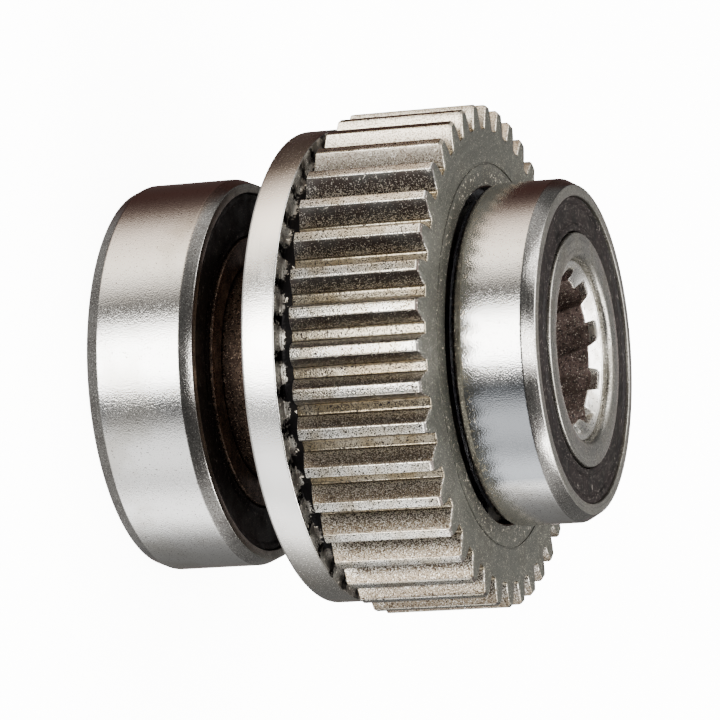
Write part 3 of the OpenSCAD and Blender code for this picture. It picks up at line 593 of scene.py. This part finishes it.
def hobbedSteel(name, look, rootRadius):
    # hobbed and hardened teeth: bright rubbed lands and edges, dark oily flanks, gritty roots; the masks
    # lie at distances in mm from the tip and from the root
    material, tree = newMaterial(name)
    place = shaftPlace(tree)
    point, radius = place["point"], place["radius"]
    tip, foot = nodeSpan("drive_gear")[0], rootRadius
    land = addNode(tree, "MapRange", {0: radius, 1: tip - 0.14, 2: tip - 0.04})
    root = addNode(tree, "MapRange", {0: radius, 1: foot + 0.1, 2: foot + 0.45, 3: 1.0, 4: 0.0})
    patch = patches(tree, point, look["patchSize"], 0.5, 0.3, 3.0)
    # the flanks are dark and oily; on the gear's +X side one flank of each tooth is painted tan towards its
    # tip, a painted reflection, and on its -X side both flanks are painted paler, with darker mottles
    behind = addNode(tree, "VectorMath", {0: place["around"], 1: (0, 0, 1)}, operation="CROSS_PRODUCT")
    facing = addNode(tree, "VectorMath", {0: place["normal"], 1: behind}, operation="DOT_PRODUCT")
    coast = addNode(tree, "MapRange", {0: facing, 1: 0.1, 2: 0.3})
    rise = addNode(tree, "MapRange", {0: radius, 1: foot + 0.6, 2: tip - 1.0},
                   interpolation_type="SMOOTHSTEP")
    mottle = patches(tree, point, look["dustAndMottleSize"], 0.42, 0.12)
    reflectedTan = painted(tree, look["flank"], [(rise, look["dustAndReflection"]), (mottle, look["reflectionMottle"])])
    across = addNode(tree, "SeparateXYZ", {0: place["around"]}).outputs["X"]
    lower = addNode(tree, "MapRange", {0: across, 1: 0.1, 2: 0.6, 3: 0.0, 4: coast})
    paleSide = addNode(tree, "MapRange", {0: across, 1: -0.74, 2: -0.86})
    pale = painted(tree, look["pale"], [(mottle, look["paleDark"])])
    flank = painted(tree, look["flank"], [(patch, look["flankBrown"]), (lower, reflectedTan), (paleSide, pale)])
    floor = painted(tree, look["root"], [(patch, look["rootTan"])])
    crown = painted(tree, look["land"], [(patch, look["landTan"])])
    # light grit lies thicker towards the roots
    fine = addNode(tree, "TexNoise", {"Vector": point, "Scale": 1 / look["speckSize"], "Detail": 1.0})
    limit = addNode(tree, "MapRange", {0: radius, 1: foot + 0.3, 2: tip - 0.6,
                                       3: look["speckLow"], 4: look["speckHigh"]})
    limit = addNode(tree, "Math", {0: coast, 1: -0.05, 2: limit}, operation="MULTIPLY_ADD")
    over = addNode(tree, "Math", {0: fine, 1: limit}, operation="SUBTRACT")
    grit = addNode(tree, "MapRange", {0: over, 1: 0.0, 2: 0.04, 3: 0.0, 4: look["gritCover"]})
    hair = curledFibres(tree, point, *look["hair"])
    colour = painted(tree, flank, [(grit, look["grit"]), (hair, look["grit"]), (root, floor), (land, crown)])
    pits = patches(tree, point, look["pitSize"], look["pitShare"])
    bare = addNode(tree, "Math", {0: land, 1: root}, operation="MAXIMUM")
    pits = addNode(tree, "Math", {0: pits, 1: bare}, operation="MULTIPLY")
    colour = painted(tree, colour, [(pits, look["pit"])])
    smooth, rough = look["roughness"]
    gloss = addNode(tree, "MapRange", {0: bare, 3: rough, 4: smooth})
    coarse = addNode(tree, "TexNoise", {"Vector": point, "Scale": 2.0, "Detail": 2.0})
    relief = addNode(tree, "Mix", {0: 0.4, 2: fine, 3: coarse})
    finishSurface(tree, colour, gloss, relief, look["depth"])
    return material


# the flank tan and its mottles are a painted reflection on the +X side; the pale colours paint the -X side's
# flanks paler
hobbedGearSteel = hobbedSteel("hobbedGearSteel", {
    "patchSize": 4.0, "land": "#d3cfc5", "landTan": "#b1a896", "flank": "#4a4845", "flankBrown": "#3e3733",
    "root": "#8f8675", "rootTan": "#786c56", "grit": "#cdc6b9", "pit": "#2a2521", "speckSize": 0.17,
    "speckHigh": 0.67, "speckLow": 0.49, "gritCover": 0.9, "pitSize": 0.18, "pitShare": 0.34,
    "dustAndReflection": "#7c705f", "reflectionMottle": "#40372e", "dustAndMottleSize": 0.2, "pale": "#c6bba8", "paleDark": "#7d7162",
    "hair": (1.2, 0.04, 0.08), "roughness": (0.22, 0.44), "depth": 0.04}, driveGear["rootRadius"])


def bentLine(start, corner, end, steps):
    # points along the quadratic curve that leaves start towards the corner and reaches end
    t = np.array(steps)[:, None]
    return (1 - t) ** 2 * start + 2 * t * (1 - t) * corner + t ** 2 * end


def toothOutline(g):
    # half a tooth from its middle to the gap's middle: tip land, eased tip edge, involute flank, root
    # fillet and root land; the half angle of an involute tooth at radius r is the pitch circle's half
    # angle plus inv(pressure angle) less inv(acos(base / r)), where inv(a) = tan a - a
    pressure = math.radians(g["pressureAngle"])
    tip, root, fillet, ease = nodeSpan("drive_gear")[0], g["rootRadius"], g["rootFillet"], g["tipEase"]
    base = g["module"] * g["teeth"] / 2 * math.cos(pressure)
    pitchHalf = (math.pi / 2 - g["backlash"] / 2 / g["module"]) / g["teeth"]

    def halfAngle(r):
        slope = np.arccos(base / r)
        return pitchHalf + math.tan(pressure) - pressure - (np.tan(slope) - slope)

    flankR = np.linspace(tip - ease, root + fillet, 8)
    flank = np.stack([flankR, halfAngle(flankR)], -1)
    land = halfAngle(tip) - ease / tip
    top = np.array([[tip, 0], [tip, land / 2], [tip, land]])
    edge = bentLine(top[-1], np.array([tip, halfAngle(tip)]), flank[0], (0.35, 0.7))
    foot = np.array([root, flank[-1, 1] + fillet / root])
    bottom = bentLine(flank[-1], np.array([root, flank[-1, 1]]), foot, (0.25, 0.5, 0.75, 1.0))
    gap = math.pi / g["teeth"]
    rest = np.array([[root, (foot[1] + gap) / 2], [root, gap]])
    return allTeeth(np.concatenate([top, edge, flank, bottom, rest]), g["teeth"], 0)


def pocketRadius(g, angle, withSprings):
    # from the shaft outwards, how far the roller space reaches: the land, or in each pocket the ramp
    # x = rampX + y tan(cam angle), cut off at the pocket's two sides, and the spring's recess beyond it
    step = 2 * math.pi / g["pockets"]
    local = (angle - math.radians(g["firstPocket"]) + step / 2) % step - step / 2
    sine, cosine = np.sin(local), np.cos(local)
    ramp = g["rampX"] / (cosine - sine * g["rampSlope"])
    side = np.where(local > 0, g["pocketHigh"], g["pocketLow"]) / np.maximum(np.abs(sine), 1e-6)
    reach = np.minimum(ramp, side)
    if withSprings:
        outside = (g["springX"] + g["springSide"]) / cosine
        recess = np.minimum(outside, g["springEnd"] / np.maximum(sine, 1e-6))
        reach = np.where((local > 0) & (local < g["springTurn"]), np.maximum(reach, recess), reach)
    return np.maximum(reach, g["landRadius"])


def makeDriveGear(g):
    # rows at the tooth outline's angles: up the outside from the boss, over the gear face, down inside;
    # at the tooth ends an edge break sets the outline in along its own normal
    tip, bottom, face = nodeSpan("drive_gear")
    radius, angle = toothOutline(g)
    x, y = radius * np.cos(angle), radius * np.sin(angle)
    outX, outY = np.roll(y, -1) - np.roll(y, 1), np.roll(x, 1) - np.roll(x, -1)
    length = np.hypot(outX, outY)
    outX, outY = outX / length, outY / length
    rings, finish = [], []

    def row(rowX, rowY, z, material):
        rings.append(np.stack([rowX, rowY, z + 0 * angle], -1))
        finish.append(material)

    def circle(r, z, material):
        row(r * np.cos(angle), r * np.sin(angle), z, material)

    def toothRow(z, inset, limit, material):
        rowX, rowY = x - inset * outX, y - inset * outY
        shrink = np.minimum(1, limit / np.hypot(rowX, rowY))
        row(rowX * shrink, rowY * shrink, z, material)

    boss, teeth, faceSteel, rim, groove = range(5)
    start = face - g["gearWidth"]
    grooveStart = start - g["grooveWidth"]
    rimStart = grooveStart - g["rimWidth"]
    lower, lowerFinish = softProfile([
        (g["boreRadius"], bottom, 0.2, boss), (g["bossRadius"], bottom, g["bossChamfer"], boss),
        (g["bossRadius"], rimStart, g["bossBlend"], boss), (g["rimRadius"], rimStart, g["rimChamfer"], rim),
        (g["rimRadius"], grooveStart, g["rimInnerChamfer"], groove),
        (g["grooveRadius"], grooveStart, g["grooveCorner"], groove),
        (g["grooveRadius"], start - g["grooveSlant"], 0, groove),
        (tip, start, 0, groove)])
    for (r, z), material in list(zip(lower, lowerFinish))[:-1]:
        circle(r, z, material)
    # the groove's toothed side is a cone from the groove's floor out to the tooth tips
    cone = start - g["grooveSlant"] * (tip - radius) / (tip - g["grooveRadius"])
    chamfer, edge = g["endChamfer"], g["endBreak"]
    breaks = ((0, edge), (edge * 0.35, edge * 0.4), (edge, 0))
    for depth, inset in breaks:
        toothRow(cone + depth, inset, tip, teeth)
    for depth, inset in ((chamfer, 0),) + breaks[::-1]:
        toothRow(face - depth, inset, tip - chamfer + depth, faceSteel if depth == 0 else teeth)
    line, lineEnd, low = g["lineRadius"] + g["lineWidth"], g["lineRadius"], face - g["lineDepth"]
    slant = g["lineSlant"]
    for r, z in [(r, face) for r in g["faceRows"]] + [(line, face), (line - slant, low),
                                                      (lineEnd + slant, low), (lineEnd, face)]:
        circle(r, z, faceSteel)
    snap, cover = face - g["snapDepth"], face - g["coverDepth"]
    recess, ease = g["recessRadius"], g["recessEdge"]
    for r, z in ((recess + ease, face), (recess, face - ease), (recess, snap), (g["snapRadius"], snap),
                 (g["snapRadius"], snap - g["snapWidth"]), (recess, snap - g["snapWidth"]), (recess, cover)):
        circle(r, z, boss)
    cavity = face - g["cavityDepth"]
    high, deep = (cover + cavity) / 2 + g["springSide"], (cover + cavity) / 2 - g["springSide"]
    levels = ((cover, False), (high, False), (high, True), (deep, True), (deep, False), (cavity, False))
    for z, springs in levels:
        circle(pocketRadius(g, angle, springs), z, boss)
    washer = face - g["washerDepth"]
    for r, z in ((g["trackRadius"], cavity), (g["trackRadius"], washer), (g["boreRadius"], washer)):
        circle(r, z, boss)
    closedMesh("driveGear", np.stack(rings), "gear_body", ["drive_gear"],
               [quenchedShadedSteel, hobbedGearSteel, heatTreatedFace, groundRimSteel, dustyShadedGrooveSteel],
               np.array(finish))


makeDriveGear(driveGear)
print("drive gear: done")


# Ball bearings: outer and inner rings

bearings = {
    "large": {"outerBody": "large_outer", "innerBody": "gear_body", "ball": 3.69, "pitch": 21,
              "cornerWidth": 1.8, "cornerHeight": 0.75, "seat": 25, "bore": 15, "seals": ("end", "gear")},
    "small": {"outerBody": "small_outer", "innerBody": "sleeve", "ball": 3.49, "pitch": 18,
              "cornerWidth": 1.8, "cornerHeight": 1.0, "seat": 21, "bore": 12.5, "seals": ("gear", "end")},
    "outerShoulder": 1.45, "innerShoulder": 1.5, "seatDepth": 1.45, "boreCorner": 0.8,
    "segments": 288, "trackSteps": 16,
}


def makeBearing(size, b, ringSteel, innerSteel):
    # both rings are profiles turned about the shaft; each ball track is an arc about the pitch circle
    ringR, low, high = nodeSpan(size + "_outer_ring")
    middle, pitch, ball, seat = (low + high) / 2, b["pitch"], b["ball"], b["seat"]
    shoulder, depth = pitch + ball - bearings["outerShoulder"], bearings["seatDepth"]
    faceR, width = ringR - b["cornerHeight"], b["cornerWidth"]
    ground, corner, end = range(3)
    outer, finish = softProfile([
        (shoulder, low + depth, 0.1, end), (seat, low + depth, 0.1, end), (seat, low, 0.12, end),
        (faceR, low, 0.15, corner), (ringR, low + width, 0.2, ground), (ringR, high - width, 0.2, corner),
        (faceR, high, 0.15, end), (seat, high, 0.12, end), (seat, high - depth, 0.1, end),
        (shoulder, high - depth, 0.1, end)])
    lift = math.degrees(math.acos((shoulder - pitch) / ball))
    track = arcPoints(pitch, middle, ball, lift, -lift, bearings["trackSteps"])
    closedMesh(size + "OuterRing", turnedRings(np.concatenate([outer, track]), bearings["segments"]),
               b["outerBody"], [size + "_outer_ring"],
               [ringSteel, turnedCornerSteel, groundFaceSteel], np.array(finish + [end] * len(track)))
    shoulder = pitch - ball + bearings["innerShoulder"]
    inner, finish = softProfile([
        (shoulder, high, 0.2, 0), (b["bore"], high, bearings["boreCorner"], 0),
        (b["bore"], low, bearings["boreCorner"], 0), (shoulder, low, 0.2, 0)])
    lift = math.degrees(math.acos((pitch - shoulder) / ball))
    track = arcPoints(pitch, middle, ball, 180 + lift, 180 - lift, bearings["trackSteps"])
    closedMesh(size + "InnerRing", turnedRings(np.concatenate([inner, track]), bearings["segments"]),
               b["innerBody"], [size + "_inner_ring"], [innerSteel])


# the large inner ring takes the boss's dark brown: quench oil, and partly painted shade of the gap at the
# large end
makeBearing("large", bearings["large"], groundBearingSteel, quenchedShadedSteel)
makeBearing("small", bearings["small"], dustyReflectionBearingSteel, groundInnerRing)
print("bearings: done")


# Rubber seals

sealSection = {"lipGap": 0.2, "bead": 0.9, "dish": 0.25, "segments": 240}


def mouldedRubber(name, look):
    # moulded nitrile rubber: near black with a brown cast, a satin skin, and grey dust pressed into it
    material, tree = newMaterial(name)
    place = shaftPlace(tree)
    point = place["point"]
    rings = turnedLines(tree, place, look["ringSpacing"], look["ringRun"])
    patch = patches(tree, point, look["patchSize"], 0.5, 0.3, 3.0)
    rubbed = addNode(tree, "MapRange", {0: rings, 1: 0.55, 2: 0.75, 3: 0.0, 4: 0.4})
    dustAndReflection = patches(tree, point, look["dustAndMottleSize"], look["dustShare"])
    hair = curledFibres(tree, point, *look["hair"])
    colour = painted(tree, look["colour"], [(patch, look["worn"]), (rubbed, look["worn"]),
                                            (dustAndReflection, look["dustAndReflection"]), (hair, look["dustAndReflection"])])
    smooth, rough = look["roughness"]
    gloss = addNode(tree, "MapRange", {0: patch, 3: smooth, 4: rough})
    relief = addNode(tree, "Mix", {0: 0.6, 2: rings, 3: dustAndReflection})
    fixed = {"Specular IOR Level": look["specular"]}
    finishSurface(tree, colour, gloss, relief, look["depth"], 0.0, fixed)
    return material


nitrileRubber = mouldedRubber("nitrileRubber", {
    "colour": "#0a0807", "worn": "#120e0d", "dustAndReflection": "#4f4a46", "ringSpacing": 0.4, "ringRun": 10,
    "patchSize": 3, "dustAndMottleSize": 0.2, "dustShare": 0.06, "hair": (1.2, 0.045, 0.06),
    "roughness": (0.38, 0.6), "specular": 0.06, "depth": 0.02})


def makeSeal(size, which, b, s):
    # a rubber seal: a round bead in the ring's seat, a dished web, and a lip beside the inner ring
    node = size + "_seal_" + which
    seat, low, high = nodeSpan(node)
    lip = b["pitch"] - b["ball"] + bearings["innerShoulder"] + s["lipGap"]
    bearingLow, bearingHigh = nodeSpan(size + "_outer_ring")[1:]
    facesUp = low + high > bearingLow + bearingHigh
    thick, bead, dish = high - low, s["bead"], s["dish"]
    outline = softProfile([
        (lip, 0, 0.2, 0), (lip + bead, 0, 0.3, 0), (lip + bead + dish, -dish, 0.15, 0),
        (seat - bead - dish, -dish, 0.15, 0), (seat - bead, 0, 0.3, 0), (seat, 0, 0.25, 0),
        (seat, -thick, 0.1, 0), (lip + bead, -thick, 0.1, 0), (lip, -thick / 2, 0.1, 0)])[0]
    height = high + outline[:, 1] if facesUp else low - outline[:, 1]
    profile = np.stack([outline[:, 0], height], -1)
    closedMesh(size + "Seal" + which.capitalize(), turnedRings(profile, s["segments"]),
               b["outerBody"], [node], [nitrileRubber])


for size in ("large", "small"):
    for which in bearings[size]["seals"]:
        makeSeal(size, which, bearings[size], sealSection)
print("seals: done")


# Splined sleeve: tail, roller track, bearing seat, and the helical spline inside

splinedSleeve = {
    "tailRadius": 11, "trackRadius": 15.2, "shoulderRadius": 14.2, "seatRadius": 12.5, "endChamfer": 0.4,
    "pilotRadius": 8.5, "reliefRadius": 11.7,
    # depths from the splined end
    "shoulderDepth": 10.9, "trackTopDepth": 15.8, "splineDepth": 25.7, "reliefDepth": 28.7,
    "trackDepth": 31.8,
    "teeth": 10, "rootRadius": 11.25, "tipRadius": 10, "rootWidth": 4.25, "tipWidth": 2.9,
    "lead": 200, "leadInRadius": 11.7, "leadInAngle": 50, "leadInEdge": 0.12, "brightEnd": 0.5,
    "pilotEdge": 0.3, "tailEdge": 0.4, "leadInRows": 8, "splineRows": 36, "pilotRows": 9,
}


def splineOutline(g):
    # half a tooth pointing inwards: tip, flank and root, its corners eased by some hundredths of a mm
    gap = math.pi / g["teeth"]
    tipHalf, rootHalf = g["tipWidth"] / 2 / g["tipRadius"], g["rootWidth"] / 2 / g["rootRadius"]
    tip, root = g["tipRadius"], g["rootRadius"]
    flank = np.array([[tip, tipHalf], [root, rootHalf]])
    t = np.linspace(0, 1, 5)[:, None]
    half = np.concatenate([
        np.array([[tip, 0], [tip, tipHalf * 0.5], [tip, tipHalf - 0.02], [tip + 0.06, tipHalf + 0.002]]),
        (flank[0] + (flank[1] - flank[0]) * (0.15 + 0.7 * t)),
        np.array([[root - 0.05, rootHalf + 0.004], [root, rootHalf + 0.018]]),
        np.stack([np.full(4, root), np.linspace(rootHalf + 0.06, gap, 4)], -1)])
    return allTeeth(half, g["teeth"], math.pi / 2)


def makeSleeve(g):
    # rows at the spline outline's angles: up the outside from the tail, over the splined end and down
    # the bore, where each row is turned by its depth's share of the lead, so the teeth run as a helix
    bottom, top = nodeSpan("splined_sleeve")[1:]
    radius, angle = splineOutline(g)
    slope = 2 * math.pi / g["lead"]
    slant = math.tan(math.radians(g["leadInAngle"]))
    rings, finish = [], []

    def circle(r, z, material, turn=0.0):
        rings.append(np.stack([r * np.cos(angle + turn), r * np.sin(angle + turn), z + 0 * angle], -1))
        finish.append(material)

    outside, bore, lead = range(3)
    chamfer, shoulder = g["endChamfer"], top - g["shoulderDepth"]
    trackLow, trackHigh = top - g["trackDepth"], top - g["trackTopDepth"]
    profile = softProfile([
        (g["pilotRadius"], bottom, 0.3, 0), (g["tailRadius"], bottom, chamfer, 0),
        (g["tailRadius"], trackLow, 0.2, 0), (g["trackRadius"], trackLow, 0.25, 0),
        (g["trackRadius"], trackHigh, 0.25, 0), (g["shoulderRadius"], trackHigh, 0.15, 0),
        (g["shoulderRadius"], shoulder, 0.25, 0), (g["seatRadius"], shoulder, 0.2, 0),
        (g["seatRadius"], top, chamfer, 0), (g["leadInRadius"], top, g["leadInEdge"], 0)])[0]
    for r, z in profile:
        circle(r, z, lead if z > top - g["brightEnd"] else outside)
    leadDepth = (g["leadInRadius"] - g["tipRadius"]) / slant
    depths = np.concatenate([np.linspace(g["leadInEdge"], leadDepth + 0.1, g["leadInRows"]),
                             np.linspace(leadDepth + 0.4, g["splineDepth"], g["splineRows"])])
    for depth in depths:
        circle(np.maximum(radius, g["leadInRadius"] - depth * slant), top - depth,
               lead if depth < leadDepth else bore, -depth * slope)
    last, relief, edge = -g["splineDepth"] * slope, top - g["reliefDepth"], g["pilotEdge"]
    for r, z in ((g["reliefRadius"], top - g["splineDepth"]), (g["reliefRadius"], relief),
                 (g["pilotRadius"] + edge, relief), (g["pilotRadius"], relief - edge)):
        circle(r, z, bore, last)
    # the plain bore: the turn unwinds row by row, back to none at the tail
    tail, rise = bottom + g["tailEdge"], relief - edge - g["tailEdge"] - bottom
    for part in np.linspace(1, 0, g["pilotRows"]):
        circle(g["pilotRadius"], tail + rise * part, bore, last * part)
    closedMesh("splinedSleeve", np.stack(rings), "sleeve", ["splined_sleeve"],
               [groundSleeveSteel, broachedSplineSteel, leadInSteel], np.array(finish))


makeSleeve(splinedSleeve)
print("splined sleeve: done")
